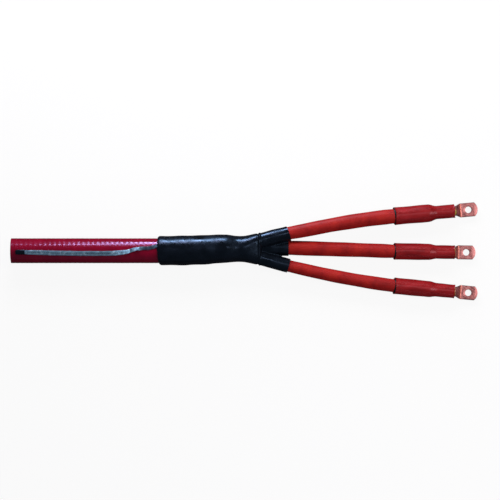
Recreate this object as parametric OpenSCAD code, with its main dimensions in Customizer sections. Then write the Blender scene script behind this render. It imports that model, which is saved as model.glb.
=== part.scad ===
// Indoor heat-shrink termination on the end of a three-core medium-voltage cable.
// A stub of sheathed cable enters a three-finger breakout boot. Each core leaves its finger in a
// red anti-tracking tube, and ends in a copper compression lug sealed by a short red sleeve. A flat
// earth braid, clamped on the copper screen inside the boot, comes out along the sheath.
// Millimetres. X runs along the cable from its sawn end to the lugs, and Z is up. The part lies on
// the ground at z = 0, on the boot and on the three lug sleeves.

/* [Cable] */
// Diameter of each stranded copper conductor
conductor_d = 11.2; // [8:0.1:16]
// Wall of the insulation on a conductor
insulation_t = 2.8; // [2:0.1:4]
// Wall of the semiconducting screen on the insulation
semicon_t = 0.6; // [0.3:0.1:1]
// Space between neighbouring cores in the cable
lay_gap = 0.4; // [0.2:0.1:2]
// Turn of the laid-up cores about the cable axis
lay_angle = 24; // [-10:1:30]
// Filler outside the cores at its thinnest
filler_t = 0.9; // [0.5:0.1:3]
// Copper tape screen round the filler
tape_t = 0.3; // [0.2:0.05:1]
// Wall of the outer sheath
sheath_t = 2.9; // [2:0.1:5]
// Length of the sheath from the sawn end to the boot
sheath_free = 294; // [250:1:600]
// Length of copper screen bared past the end of the sheath
tape_bare = 35; // [30:1:60]

/* [Earth braid] */
// Width of the flat braid
braid_w = 9.6; // [6:0.1:14]
// Thickness of the flat braid
braid_t = 2; // [1:0.1:3]
// Place of the braid round the cable under the boot, from the top towards +Y
braid_turn = 22; // [0:1:40]
// Wall of the sleeve on the braid's free end
braid_cap_t = 0.8; // [0.5:0.1:1.5]
// Width of the roll spring that clamps the braid on the copper screen
spring_w = 18; // [10:1:20]
// Build-up of the roll spring's turns, over the braid
spring_t = 1.9; // [1:0.1:4]

/* [Breakout boot] */
// Length of the boot on the sheath
boot_grip = 101; // [70:1:150]
// Wall of the boot's body
boot_wall = 2.2; // [1.5:0.1:4]
// Sealing mastic over the braid, under the boot
sealant_over = 0.4; // [0.2:0.1:3]
// Distance from the end of the sheath to the boot's waist
waist_x = 64; // [56:1:80]
// Room round the laid-up cores at the waist
waist_room = 2.9; // [2.5:0.1:6]
// Sideways lean of the boot's body over the end of the sheath
body_lean = 1; // [0:0.1:1.2]
// Sideways lean of the waist
waist_lean = 2; // [0:0.1:2.5]
// Distance from the end of the sheath to the collar at the finger roots
collar_x = 98; // [92:1:110]
// Height of the collar above the fingers
collar_rise = 1; // [0.3:0.1:3]
// Distance from the end of the sheath to the finger ends
finger_x = 156; // [150:1:190]
// Wall of a finger
finger_wall = 1.9; // [1.2:0.1:3]

/* [Core routes] */
// Bend radius of a core where it leaves the lay
bend_r = 100; // [60:1:110]
// Distance from the end of the sheath to the first bend of core 1
bend_1 = 37; // [36:1:50]
// Distance from its finger's end to the first bend of core 2
bend_2 = 2; // [1:0.5:15]
// Distance from the end of the sheath to the first bend of core 3
bend_3 = 71; // [60:1:75]
// Angle of core 1 through its finger
fan_1 = 14.8; // [12:0.1:18]
// Angle of core 2 past its finger
fan_2 = -2.4; // [-4:0.1:-2]
// Angle of core 3 through its finger
fan_3 = -15.9; // [-18:0.1:-14]
// Angle of lug 1
end_1 = 5.2; // [0:0.1:8]
// Angle of lug 2
end_2 = -1; // [-2:0.1:0]
// Angle of lug 3
end_3 = -5.6; // [-8:0.1:0]
// Distance from the end of the sheath to the mouths of the lug sleeves
sleeve_x = 367; // [320:1:500]

/* [Core tubes] */
// Wall of a stress control tube
stress_t = 1; // [0.6:0.1:1.2]
// Length of a stress control tube
stress_len = 100; // [60:1:130]
// Distance from a finger end to the stress control tube
stress_from = 14; // [5:1:25]
// Length of semiconducting screen covered by the stress control tube
stress_lap = 40; // [20:1:50]
// Diameter of core tube 1 at its finger
tube_d_1 = 25.4; // [24:0.1:32]
// Diameter of core tube 2 at its finger
tube_d_2 = 28.6; // [24:0.1:32]
// Diameter of core tube 3 at its finger
tube_d_3 = 24; // [24:0.1:32]
// Diameter of core tube 1 at its lug sleeve
sleeved_d_1 = 28.8; // [23:0.1:34]
// Diameter of core tube 2 at its lug sleeve
sleeved_d_2 = 26.6; // [23:0.1:34]
// Diameter of core tube 3 at its lug sleeve
sleeved_d_3 = 26.4; // [23:0.1:34]

/* [Lug sleeves] */
// Length of a lug sleeve
sleeve_len = 120; // [110:1:130]
// Length of a sleeve's wide part
sleeve_wide = 67; // [64:1:72]
// Length of the shoulder between the wide part and the neck
sleeve_shoulder = 16; // [8:1:20]
// Wall of a sleeve's wide part
sleeve_wall = 3; // [1.5:0.1:4]
// Wall of a sleeve's neck
neck_wall = 2.9; // [1.5:0.1:4]
// Height of the flared lips at both ends of a sleeve
sleeve_lip = 0.6; // [0.2:0.1:1.5]
// Length of core tube inside a sleeve
tube_in = 60; // [40:1:62]
// Sealing mastic on a lug barrel
mastic_t = 0.5; // [0.3:0.1:1.2]

/* [Lugs] */
// Diameter of a lug barrel
barrel_d = 19.4; // [17:0.1:24]
// Distance from a sleeve's mouth to the open end of the barrel
barrel_from = 68; // [66:0.5:74]
// Depth of the conductor in the barrel
barrel_depth = 44; // [30:1:48]
// Width across the flats of a hexagonal crimp
crimp_af = 18; // [16:0.1:19]
// Width of a crimp
crimp_w = 10; // [6:0.5:12]
// Distance from a sleeve's end to the neck of its lug
neck_out = 2.5; // [2:0.5:8]
// Extra length cut off the conductor of core 2
core_2_short = 5; // [0:0.5:6]
// Diameter of the bolt hole
hole_d = 13; // [8:0.1:14]
// Width of the palm
palm_w = 28; // [24:0.1:32]
// Thickness of the palm
palm_t = 5.2; // [3:0.1:7]
// Radius of the palm's tip about the bolt hole
tip_r = 18.6; // [16:0.1:24]
// Distance from the bolt hole to the crease at the end of the palm
crease_back = 16; // [12:0.5:18]
// Length of the neck between the crease and the round barrel
neck_len = 10; // [8:0.5:14]

/* [Fit] */
// Space between neighbouring layers
fit = 0.15; // [0.05:0.05:0.3]

/* [Hidden] */
$fn = 96;
rad = PI / 180;

// Radii of the layers, from the conductor outwards
conductor_r = conductor_d / 2;
insulation_r = conductor_r + fit + insulation_t;
screen_r = insulation_r + fit + semicon_t;
stress_r = screen_r + fit + stress_t;
lay_r = (2 * screen_r + lay_gap) / sqrt(3);
filler_r = lay_r + screen_r + filler_t;
tape_r = filler_r + fit + tape_t;
sheath_r = tape_r + fit + sheath_t;
sealant_r = sheath_r + fit + braid_t + sealant_over;
spring_r = tape_r + fit + braid_t + spring_t;
barrel_r = barrel_d / 2;

// Boot radii: on the sheath, over the roll spring and at the waist
boot_r = sealant_r + fit + boot_wall;
over_spring_r = spring_r + fit + boot_wall;
waist_r = lay_r + screen_r + waist_room + boot_wall;

// Stations along the cable, from the end of the sheath
sawn_x = -sheath_free - boot_grip;
mouth_x = -boot_grip;
spring_x = tape_bare - spring_w - 3;
axis_z = boot_r;

// The three cores, numbered from 0
bend_x = [bend_1, finger_x + bend_2, bend_3];
fan = [fan_1, fan_2, fan_3];
end = [end_1, end_2, end_3];
tube_r = [tube_d_1, tube_d_2, tube_d_3] / 2;
sleeved_r = [sleeved_d_1, sleeved_d_2, sleeved_d_3] / 2;
finger_r = [for (r = tube_r) r + fit + finger_wall];
sleeve_r = [for (r = sleeved_r) r + fit + sleeve_wall];
neck_r = barrel_r + fit + mastic_t + fit + neck_wall;
hole_at = [for (short = [0, core_2_short, 0]) sleeve_len + neck_out + neck_len + crease_back - short];

// Place of each core in the lay
lay_turn = [for (a = [30, -90, 150]) a + lay_angle];
lay_y = [for (a = lay_turn) lay_r * cos(a)];
lay_z = [for (a = lay_turn) axis_z + lay_r * sin(a)];

// A core's route lies in one plane: straight, bend, straight through the finger, long easy bend
// back, straight through the sleeve. cuts[k] are the distances along core k where these meet.
function turned_u(k) = bend_x[k] + bend_r * sin(abs(fan[k]));
function easy_len(k) = (sleeve_x - max(finger_x, turned_u(k))) * (end[k] - fan[k]) * rad
    / (sin(end[k]) - sin(fan[k]));
cuts = [for (k = [0:2])
    let (s1 = bend_x[k], s2 = s1 + bend_r * abs(fan[k]) * rad,
         s3 = s2 + max(0, (finger_x - turned_u(k)) / cos(fan[k])), s4 = s3 + easy_len(k))
    [sawn_x, s1, s2, s3, s4, s4 + sleeve_len]];
curve = [for (k = [0:2])
    [0, sign(fan[k]) / bend_r, 0, (end[k] - fan[k]) * rad / easy_len(k), 0]];

// Point [u, v] and heading at distance s along a span that starts at p and curves by c
function along(p, c, s) = c == 0
    ? [p[0] + s * cos(p[2]), p[1] + s * sin(p[2]), p[2]]
    : let (h = p[2] + s * c / rad)
      [p[0] + (sin(h) - sin(p[2])) / c, p[1] + (cos(p[2]) - cos(h)) / c, h];
function span_pose(k, i) = i == 0
    ? [sawn_x, 0, 0]
    : along(span_pose(k, i - 1), curve[k][i - 1], cuts[k][i] - cuts[k][i - 1]);
function span_of(k, s) = max([0, for (i = [1:4]) if (s >= cuts[k][i]) i]);
function pose(k, s) = let (i = span_of(k, s)) along(span_pose(k, i), curve[k][i], s - cuts[k][i]);

// Each route's plane is rolled about X until the wide part of its lug sleeve rests on the ground
mouth_s = [for (c = cuts) c[4]];
rest_drop = [for (k = [0:2]) (sleeve_r[k] - lay_z[k]) / pose(k, mouth_s[k] + sleeve_wide)[1]];
roll = [for (d = rest_drop) asin(max(-0.7, min(0.7, d)))];

// Point in the part's space at p = [u, v] and height w off the route's plane
function placed(k, p, w = 0) = [
    p[0],
    lay_y[k] + p[1] * cos(roll[k]) - w * sin(roll[k]),
    lay_z[k] + p[1] * sin(roll[k]) + w * cos(roll[k])];
function core_point(k, s) = placed(k, pose(k, s));

// Distance along core k to station x in its finger
function finger_s(k, x) = x < bend_x[k] ? x : cuts[k][2] + (x - turned_u(k)) / cos(fan[k]);

// Core tubes begin in the crotch, as soon as the spreading cores leave room for them
function spread(i, j, x) = norm(core_point(i, finger_s(i, x)) - core_point(j, finger_s(j, x)))
    - (tube_r[i] + tube_r[j]) / cos(max(abs(fan_1), abs(fan_3)));
tube_x = [for (x = [collar_x:1:finger_x - 4])
    if (min(spread(0, 1, x), spread(1, 2, x), spread(0, 2, x)) > 0.5) x][0];

// Bolt holes and the shift that centres the part over its origin
hole_s = [for (k = [0:2]) mouth_s[k] + hole_at[k]];
holes = [for (k = [0:2]) core_point(k, hole_s[k])];
corner = sqrt(tip_r * tip_r - palm_w * palm_w / 4);
mid_x = (sawn_x + max([for (h = holes) h[0]]) + tip_r) / 2;
mid_y = (holes[0][1] + corner * sin(end_1) + palm_w / 2 * cos(end_1)
    + holes[2][1] + corner * sin(end_3) - palm_w / 2 * cos(end_3)) / 2;

// Skins along a core are drawn through rings of points. On the bends a ring stands at each station.
sides = 24;
stations = [for (c = cuts) concat(
    [for (i = [0:3]) c[1] + (c[2] - c[1]) * i / 3], [for (i = [0:5]) c[3] + (c[4] - c[3]) * i / 5])];
function ring(k, s, r) = let (p = pose(k, s)) [for (j = [0:sides - 1]) let (a = 360 * j / sides)
    placed(k, [p[0] - r * cos(a) * sin(p[2]), p[1] + r * cos(a) * cos(p[2])], r * sin(a))];

// Stations between the distances a and b, in the order from a to b
function between(k, a, b) = let (
    inside = [for (s = stations[k]) if (s > min(a, b) + 0.1 && s < max(a, b) - 0.1) s],
    n = len(inside)) [for (i = [0:1:n - 1]) inside[a < b ? i : n - 1 - i]];

// Outline points [distance, radius] from p towards q, with a point at each station on the way
function edge(k, p, q) = concat([p], p[0] == q[0] ? [] : [for (s = between(k, p[0], q[0]))
    [s, p[1] + (q[1] - p[1]) * (s - p[0]) / (q[0] - p[0])]]);

// Earth braid, from the roll spring to its free end: distance from the end of the sheath, angle
// round the cable from the top towards -Y, and width as a share of the full width
braid_route = concat(
    [for (x = [32, 24, 14, 3, -8, -30, -60, -90, -104]) [x, -braid_turn, 0.75]], [
    [-112, -18, 0.75], [-120, -13, 0.75], [-130, -10, 0.75], [-138, -9, 0.75], [-146, -7, 0.8],
    [-154, -3, 0.85], [-164, 3, 0.9], [-176, 8, 1], [-190, 12, 1], [-210, 14, 1], [-235, 14, 1],
    [-260, 13, 1], [-285, 12, 1], [-310, 11, 1], [-332, 10, 1], [-348, 9, 0.9], [-358, 8, 0.75],
    [-366, 8, 0.75], [-374, 8, 0.75]]);
braid_cap = [[-357, 8, 0.75], [-366, 8, 0.75], [-376, 8, 0.75]];

// The braid lies on the bared screen, climbs over the end of the sheath and lies along it. Its
// free end is lifted by the sleeve on it.
function braid_seat(x) = fit + (x < 3.5 ? sheath_r : x < 14 ? sheath_r - (sheath_r - tape_r)
    * (x - 3) / 11 : tape_r) + (x < -350 ? braid_cap_t + fit : x < -340 ? braid_cap_t / 2 : 0);

// Flat eight-sided section of half width w and half thickness t, chamfered by c
function flat(w, t, c) = [[w, c - t], [w - c, -t], [c - w, -t], [-w, c - t],
    [-w, t - c], [c - w, t], [w - c, t], [w, t - c]];

// Rings of a flat strip on the cable, grown by g on every side
function strip(route, g) = [for (p = route)
    let (r = braid_seat(p[0]) + braid_t / 2)
    [for (q = flat(braid_w * p[2] / 2 + g, braid_t / 2 + g, braid_t / 4))
        [p[0], (r + q[1]) * sin(-p[1]) + q[0] * cos(p[1]),
            axis_z + (r + q[1]) * cos(p[1]) + q[0] * sin(p[1])]]];

// Moves the part so that its box stands centred over the origin
module centred() translate([-mid_x, -mid_y, 0]) children();

// Lays a shape drawn upwards from z = 0 along the cable, from station x
module on_cable(x) translate([x, 0, axis_z]) rotate([0, 90, 0]) children();

// Frame at distance s along core k, with X along the core
module at(k, s) {
    p = pose(k, s);
    translate([0, lay_y[k], lay_z[k]]) rotate([roll[k], 0, 0])
        translate([p[0], p[1], 0]) rotate([0, 0, p[2]]) children();
}

// Faces of a skin from each ring of n points to the next, over m rings
function skin(n, m) = [for (j = [0:m - 1], i = [0:n - 1]) each [
    [j * n + i, (j + 1) * n + i, j * n + (i + 1) % n],
    [j * n + (i + 1) % n, (j + 1) * n + i, (j + 1) * n + (i + 1) % n]]];

// Solid through rings with the same number of points, closed at both ends
module loft(rings) {
    n = len(rings[0]);
    m = len(rings) - 1;
    polyhedron(points = [for (r = rings) each r], faces = concat(
        [[for (i = [0:n - 1]) i]], skin(n, m), [[for (i = [n - 1:-1:0]) m * n + i]]));
}

// Ring-shaped solid about core k, whose section is the outline [distance, radius]
module layer(k, outline) {
    n = len(outline);
    rings = [for (i = [0:n - 1]) each [for (q = edge(k, outline[i], outline[(i + 1) % n]))
        ring(k, q[0], q[1])]];
    m = len(rings);
    polyhedron(points = [for (r = rings) each r],
        faces = [for (f = skin(sides, m)) [for (v = f) v % (sides * m)]]);
}

// Three bores for the laid-up cores
module core_bores(x0, x1)
    for (k = [0:2]) translate([x0, lay_y[k], lay_z[k]]) rotate([0, 90, 0])
        cylinder(r = screen_r + fit, h = x1 - x0);

// Plain layer of the cable from its sawn end to station x
module cable_layer(r_in, r_out, x)
    on_cable(sawn_x) difference() {
        cylinder(r = r_out, h = x - sawn_x);
        translate([0, 0, -1]) cylinder(r = r_in, h = x - sawn_x + 2);
    }

module cable_sheath() color("#7d0a1c") cable_layer(tape_r + fit, sheath_r, 0);

module copper_screen() color("#b0633f") cable_layer(filler_r + fit, tape_r, tape_bare);

module cable_filler() color("#3a3a3c") difference() {
    on_cable(sawn_x) cylinder(r = filler_r, h = tape_bare - sawn_x);
    core_bores(sawn_x - 1, tape_bare + 1);
}

// Slot along the cable for the braid where it runs straight, open outwards
module braid_slot(r, x0, x1)
    translate([x0, 0, axis_z]) rotate([-braid_turn, 0, 0])
        translate([0, -0.375 * braid_w - fit, 0]) cube([x1 - x0, 0.75 * braid_w + 2 * fit, r]);

module sealing_mastic() color("#15161a") difference() {
    cable_end = -1;
    on_cable(mouth_x + 2) difference() {
        cylinder(r = sealant_r, h = cable_end - mouth_x - 2);
        translate([0, 0, -1]) cylinder(r = sheath_r + fit, h = boot_grip + 2);
    }
    braid_slot(sealant_r + 1, mouth_x, 0);
}

module roll_spring() color("#a9adb2") difference() {
    on_cable(spring_x) difference() {
        cylinder(r = spring_r, h = spring_w);
        translate([0, 0, -1]) cylinder(r = tape_r + fit, h = spring_w + 2);
    }
    braid_slot(tape_r + fit + braid_t + fit, spring_x - 1, spring_x + spring_w + 1);
}

// Round slice across the boot: station, sideways lean and radius
module slice(p) translate([p[0], p[1], axis_z]) rotate([0, 90, 0])
    cylinder(r = p[2], h = 1, $fn = 40);

// Body drawn tight over a row of slices
module boot_body(slices)
    for (i = [1:len(slices) - 1]) hull() {
        slice(slices[i - 1]);
        slice(slices[i]);
    }

// Flare from the waist to the three finger roots
module boot_flare(r_waist, r_roots, len) hull() {
    slice([waist_x - 1, waist_lean, r_waist]);
    for (k = [0:2]) at(k, finger_s(k, collar_x) - len) rotate([0, 90, 0])
        cylinder(r = r_roots[k], h = len, $fn = 32);
}

// Straight round finger of core k, longer than the boot's by extra at both ends
module finger(k, r, extra) at(k, finger_s(k, finger_x)) translate([extra, 0, 0]) rotate([0, -90, 0])
    cylinder(r = r, h = finger_x - collar_x + 2 + 2 * extra, $fn = 36);

module breakout_boot() color("#14171d") difference() {
    union() {
        boot_body([
            [mouth_x, 0, boot_r - 0.7], [mouth_x + 1.2, 0, boot_r], [-8, body_lean, boot_r],
            [3, body_lean, over_spring_r], [tape_bare - 4, body_lean, over_spring_r],
            [waist_x - 6, waist_lean, waist_r], [waist_x - 1, waist_lean, waist_r]]);
        boot_flare(waist_r, [for (r = finger_r) r + collar_rise], 3);
        for (k = [0:2]) finger(k, finger_r[k], 0);
    }
    boot_body([
        [mouth_x - 1, 0, sealant_r + fit], [-2, 0, sealant_r + fit], [4, 0, spring_r + fit],
        [tape_bare, 0, spring_r + fit], [waist_x - 6, waist_lean, waist_r - boot_wall],
        [waist_x - 1, waist_lean, waist_r - boot_wall]]);
    boot_flare(waist_r - boot_wall, [for (r = tube_r) r - 0.5], 1);
    for (k = [0:2]) finger(k, tube_r[k] + fit, 1);
}

module earth_braid() color("#aab4bd") loft(strip(braid_route, 0));

module braid_end_sleeve() color("#17191d") difference() {
    loft(strip(braid_cap, fit + braid_cap_t));
    loft(strip([for (p = braid_cap) [p[0] + 2, p[1], p[2]]], fit));
}

function core_short(k) = k == 1 ? core_2_short : 0;
function stress_s(k) = cuts[k][3] + stress_from;
function stripped_s(k) = mouth_s[k] + barrel_from - 2 - core_short(k);

module conductor(k) color("#b3653f") {
    tip = mouth_s[k] + barrel_from + barrel_depth - 1 - core_short(k);
    loft([for (s = concat([sawn_x], between(k, sawn_x, tip), [tip])) ring(k, s, conductor_r)]);
}

// Layer of even wall on core k between the distances a and b
module pipe(k, r_in, r_out, a, b) layer(k, [[a, r_out], [b, r_out], [b, r_in], [a, r_in]]);

module insulation(k) color("#d9d5c8")
    pipe(k, conductor_r + fit, insulation_r, sawn_x, stripped_s(k));

module semicon(k) color("#202124")
    pipe(k, insulation_r + fit, screen_r, sawn_x, stress_s(k) + stress_lap);

module stress_tube(k) color("#1d1e22") {
    a = stress_s(k);
    b = a + stress_len;
    step = a + stress_lap + fit;
    layer(k, [[a, stress_r], [b, stress_r], [b, insulation_r + fit], [step, insulation_r + fit],
        [step, screen_r + fit], [a, screen_r + fit]]);
}

// Tube shrunk on core k, with a stepped bore over the screen, the stress tube and the insulation
module core_tube(k) color("#b5322f") {
    a = finger_s(k, tube_x);
    b = mouth_s[k] + tube_in;
    c = stress_s(k) - fit;
    d = stress_s(k) + stress_len + fit;
    layer(k, [[a, tube_r[k]], [finger_s(k, finger_x), tube_r[k]], [mouth_s[k], sleeved_r[k]],
        [b, sleeved_r[k]], [b, insulation_r + fit], [d, insulation_r + fit], [d, stress_r + fit],
        [c, stress_r + fit], [c, screen_r + fit], [a, screen_r + fit]]);
}

// Revolved shape about the straight end of core k, drawn as [radius, distance from the mouth]
module sleeved(k, outline) at(k, mouth_s[k]) rotate([0, 90, 0]) rotate_extrude() polygon(outline);

module lug_sleeve(k) color("#a8232c") {
    wide = sleeve_r[k];
    bore = barrel_r + fit + mastic_t + fit;
    shoulder = sleeve_wide + sleeve_shoulder;
    sleeved(k, [
        [sleeved_r[k] + fit, 0], [wide + sleeve_lip, 0], [wide + sleeve_lip, 1.2], [wide, 4],
        [wide, sleeve_wide], [neck_r, shoulder], [neck_r, sleeve_len - 4],
        [neck_r + sleeve_lip, sleeve_len - 1.2], [neck_r + sleeve_lip, sleeve_len],
        [bore, sleeve_len], [bore, shoulder - 2], [sleeved_r[k] + fit, sleeve_wide - 1]]);
}

module lug_mastic(k) color("#b59a35") {
    start = tube_in + fit;
    barrel = barrel_from - core_short(k);
    shoulder = sleeve_wide + sleeve_shoulder;
    sleeved(k, [
        [insulation_r + fit, start], [sleeved_r[k] - 0.2, start],
        [sleeved_r[k] - 0.2, sleeve_wide - 1.5], [barrel_r + fit + mastic_t, shoulder - 2.5],
        [barrel_r + fit + mastic_t, sleeve_len - 1], [barrel_r + fit, sleeve_len - 1],
        [barrel_r + fit, barrel - fit], [insulation_r + fit, barrel - fit]]);
}

// Copper lug: a crimped tube pressed flat into a palm whose underside is level with the barrel's
module lug(k) color("#b06a50") {
    barrel = barrel_from - core_short(k) - hole_at[k];
    neck = -crease_back - neck_len;
    level = -atan(cos(end[k]) * tan(roll[k]));
    palm_z = palm_t / 2 - barrel_r;
    at(k, hole_s[k]) rotate([level, 0, 0]) difference() {
        union() {
            translate([barrel, 0, 0]) rotate([0, 90, 0]) difference() {
                cylinder(r = barrel_r, h = neck - barrel);
                for (z = [5, 9 + crimp_w]) translate([0, 0, z]) difference() {
                    cylinder(r = barrel_r + 1, h = crimp_w);
                    translate([0, 0, -1]) cylinder(r = crimp_af / sqrt(3), h = crimp_w + 2, $fn = 6);
                }
            }
            hull() {
                translate([neck, 0, 0]) rotate([0, 90, 0]) cylinder(r = barrel_r, h = 0.5, $fn = 48);
                translate([-crease_back - 0.5, 0, palm_z]) palm_slab(0.5, $fn = 32);
            }
            intersection() {
                translate([-crease_back, 0, palm_z]) palm_slab(crease_back + tip_r);
                translate([0, 0, -barrel_r - 1]) linear_extrude(palm_t + 2)
                    union() {
                        circle(r = tip_r);
                        translate([-crease_back - 1, -palm_w / 2 - 1])
                            square([crease_back + 1, palm_w + 2]);
                    }
            }
        }
        translate([0, 0, -barrel_r - 1]) cylinder(d = hole_d, h = palm_t + 2);
        translate([barrel - 1, 0, 0]) rotate([0, 90, 0])
            cylinder(r = conductor_r + fit, h = barrel_depth + 1);
    }
}

// Round-edged slab of the palm's section, along X
module palm_slab(len) rotate([90, 0, 90]) linear_extrude(len) {
    square([palm_w - palm_t, palm_t], center = true);
    for (y = [-1, 1]) translate([y * (palm_w - palm_t) / 2, 0]) circle(d = palm_t);
}

centred() cable_sheath();
centred() cable_filler();
centred() copper_screen();
centred() sealing_mastic();
centred() roll_spring();
centred() breakout_boot();
centred() earth_braid();
centred() braid_end_sleeve();
centred() conductor(0);  // conductor_1
centred() conductor(1);  // conductor_2
centred() conductor(2);  // conductor_3
centred() insulation(0);  // insulation_1
centred() insulation(1);  // insulation_2
centred() insulation(2);  // insulation_3
centred() semicon(0);  // semicon_1
centred() semicon(1);  // semicon_2
centred() semicon(2);  // semicon_3
centred() stress_tube(0);  // stress_tube_1
centred() stress_tube(1);  // stress_tube_2
centred() stress_tube(2);  // stress_tube_3
centred() core_tube(0);  // core_tube_1
centred() core_tube(1);  // core_tube_2
centred() core_tube(2);  // core_tube_3
centred() lug_mastic(0);  // lug_mastic_1
centred() lug_mastic(1);  // lug_mastic_2
centred() lug_mastic(2);  // lug_mastic_3
centred() lug_sleeve(0);  // lug_sleeve_1
centred() lug_sleeve(1);  // lug_sleeve_2
centred() lug_sleeve(2);  // lug_sleeve_3
centred() lug(0);  // lug_1
centred() lug(1);  // lug_2
centred() lug(2);  // lug_3
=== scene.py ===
from math import atan2, cos, degrees, exp, hypot, pi, radians, sin, tan

import bmesh
import bpy
from mathutils import Matrix, Vector


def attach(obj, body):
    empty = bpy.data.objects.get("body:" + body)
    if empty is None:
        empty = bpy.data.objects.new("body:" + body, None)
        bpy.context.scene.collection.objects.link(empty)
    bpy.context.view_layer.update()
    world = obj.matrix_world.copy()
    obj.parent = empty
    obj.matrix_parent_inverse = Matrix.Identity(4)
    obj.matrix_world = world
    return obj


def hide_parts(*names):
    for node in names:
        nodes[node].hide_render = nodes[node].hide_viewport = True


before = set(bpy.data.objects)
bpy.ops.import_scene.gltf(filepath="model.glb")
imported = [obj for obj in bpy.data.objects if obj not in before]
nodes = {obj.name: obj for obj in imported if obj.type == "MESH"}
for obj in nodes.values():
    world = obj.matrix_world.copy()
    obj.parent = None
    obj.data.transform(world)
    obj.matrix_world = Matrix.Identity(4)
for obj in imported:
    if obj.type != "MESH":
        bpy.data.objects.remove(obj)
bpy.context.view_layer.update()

# Studio: a pale paper floor under the part, a soft panel on the +Y side, a slanting strip that draws the
# streak along the sheath, a low cool window for the boot, a strip and a panel for sleeves and lugs, and a fill.
MM = 0.001


def srgb(code):
    """Linear colour of an sRGB hex value."""
    parts = [int(code[i:i + 2], 16) / 255 for i in (1, 3, 5)]
    return [c / 12.92 if c <= 0.04045 else ((c + 0.055) / 1.055) ** 2.4 for c in parts] + [1]


def new_material(name):
    """Material with an empty Principled shader: its node tree, its shader and itself."""
    material = bpy.data.materials.new(name)
    material.use_nodes = True
    return material.node_tree, material.node_tree.nodes["Principled BSDF"], material


def add(tree, kind, links=(), **settings):
    """Adds a node, sets its properties or inputs by name, and links (output, input) pairs into it."""
    node = tree.nodes.new(kind)
    for key, value in settings.items():
        name = key.replace("_", " ").title()
        if key in node.bl_rna.properties:
            setattr(node, key, value)
        else:
            node.inputs[name].default_value = value
    for source, socket in links:
        tree.links.new(source, node.inputs[socket])
    return node


def ramp(node, *stops):
    """Sets the stops (place, hex colour) of a colour ramp."""
    elements = node.color_ramp.elements
    while len(elements) < len(stops):
        elements.new(0.5)
    for element, (place, code) in zip(elements, stops):
        element.position = place
        element.color = srgb(code)
    return node


# White paper: matt, white to the camera with a faint shadow of the part, and dim to every other ray
bpy.ops.object.select_all(action="DESELECT")
bpy.ops.mesh.primitive_plane_add(size=40)
floor = bpy.context.object
floor.name = "floor"
tree, shader, paper = new_material("white_paper")
tree.nodes.remove(shader)
ray = add(tree, "ShaderNodeLightPath")
lit = add(tree, "ShaderNodeBsdfDiffuse", Color=srgb("#e8e8e8"))
dim = add(tree, "ShaderNodeBsdfDiffuse", Color=srgb("#4a4a4e"))
bright = add(tree, "ShaderNodeEmission", Color=(1, 1, 1, 1), Strength=1)
shown = add(tree, "ShaderNodeMixShader", [(lit.outputs[0], 1), (bright.outputs[0], 2)], Fac=0.91)
both = add(tree, "ShaderNodeMixShader",
           [(ray.outputs["Is Camera Ray"], 0), (dim.outputs[0], 1), (shown.outputs[0], 2)])
tree.links.new(both.outputs[0], tree.nodes["Material Output"].inputs["Surface"])
floor.data.materials.append(paper)

world = bpy.data.worlds.new("grey_room")
bpy.context.scene.world = world
world.use_nodes = True
tree = world.node_tree
room = tree.nodes["Background"]
room.inputs["Color"].default_value = srgb("#dfe6f0")
room.inputs["Strength"].default_value = 0.16


def lamp(name, place, target, size, power, color, slant=0, glossy=True):
    """Rectangular area lamp facing a target, in metres and watts, turned about its own axis by slant."""
    data = bpy.data.lights.new(name, "AREA")
    data.shape = "RECTANGLE"
    data.size, data.size_y = size
    data.energy = power
    data.color = color
    panel = bpy.data.objects.new(name, data)
    bpy.context.collection.objects.link(panel)
    aim = (Vector(target) - Vector(place)).to_track_quat("-Z", "Y").to_matrix().to_4x4()
    panel.matrix_world = Matrix.Translation(place) @ aim @ Matrix.Rotation(radians(slant), 4, "Z")
    panel.visible_glossy = glossy


lamp("key_panel", (0.1, 1.24, 0.88), (0.08, 0, 0.03), (1.8, 0.5), 20.5, (1.0, 0.98, 0.98), glossy=False)
lamp("streak_strip", (-0.282, 1.329, 0.557), (-0.282, 0, 0.03), (0.8, 0.13), 7.4, (0.95, 0.84, 1.0), slant=68)
lamp("low_window", (-0.11, 1.45, 0.27), (-0.11, 0, 0.03), (0.42, 0.34), 11.6, (0.62, 0.8, 1.0))
lamp("sleeve_strip", (0.48, 0.47, 2.2), (0.48, 0, 0.03), (0.34, 0.07), 1.9, (1.0, 0.9, 0.96))
lamp("lug_panel", (1.25, 0.05, 1.25), (0.44, 0, 0), (0.7, 0.9), 8, (1.0, 0.95, 0.95))
lamp("fill_panel", (0.6, -1.3, 0.8), (0.3, 0, 0.03), (0.9, 0.6), 5.5, (0.9, 0.85, 1.0), glossy=False)

# The photograph looks straight down through a long lens, so the sawn end shows as a straight line
lens = bpy.data.cameras.new("camera")
camera = bpy.data.objects.new("camera", lens)
bpy.context.collection.objects.link(camera)
camera.location = (0.0101, 0.00263, 5.0)
lens.sensor_fit = "HORIZONTAL"
lens.sensor_width = 36
lens.angle = radians(11.413)
lens.clip_end = 20
bpy.context.scene.camera = camera
bpy.context.scene.view_settings.view_transform = "Standard"

# Cable stub: a red PVC sheath extruded over a taped and filled bundle of three cores. The lay of the
# tape under it shows as faint ripples in its gloss, and its far end is sawn off square.
AXIS_Y, AXIS_Z = 1.18, 29.57
SHEATH_END, BOOT_MOUTH, SAWN = -69.24, -170.24, -464.24
SHEATH_R, SHEATH_BORE = 24.67, 21.62
RIPPLE, RIPPLE_PITCH, SLOW_PITCH, SAWN_EDGE = 0.06, 9.5, 61, 0.3
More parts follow.
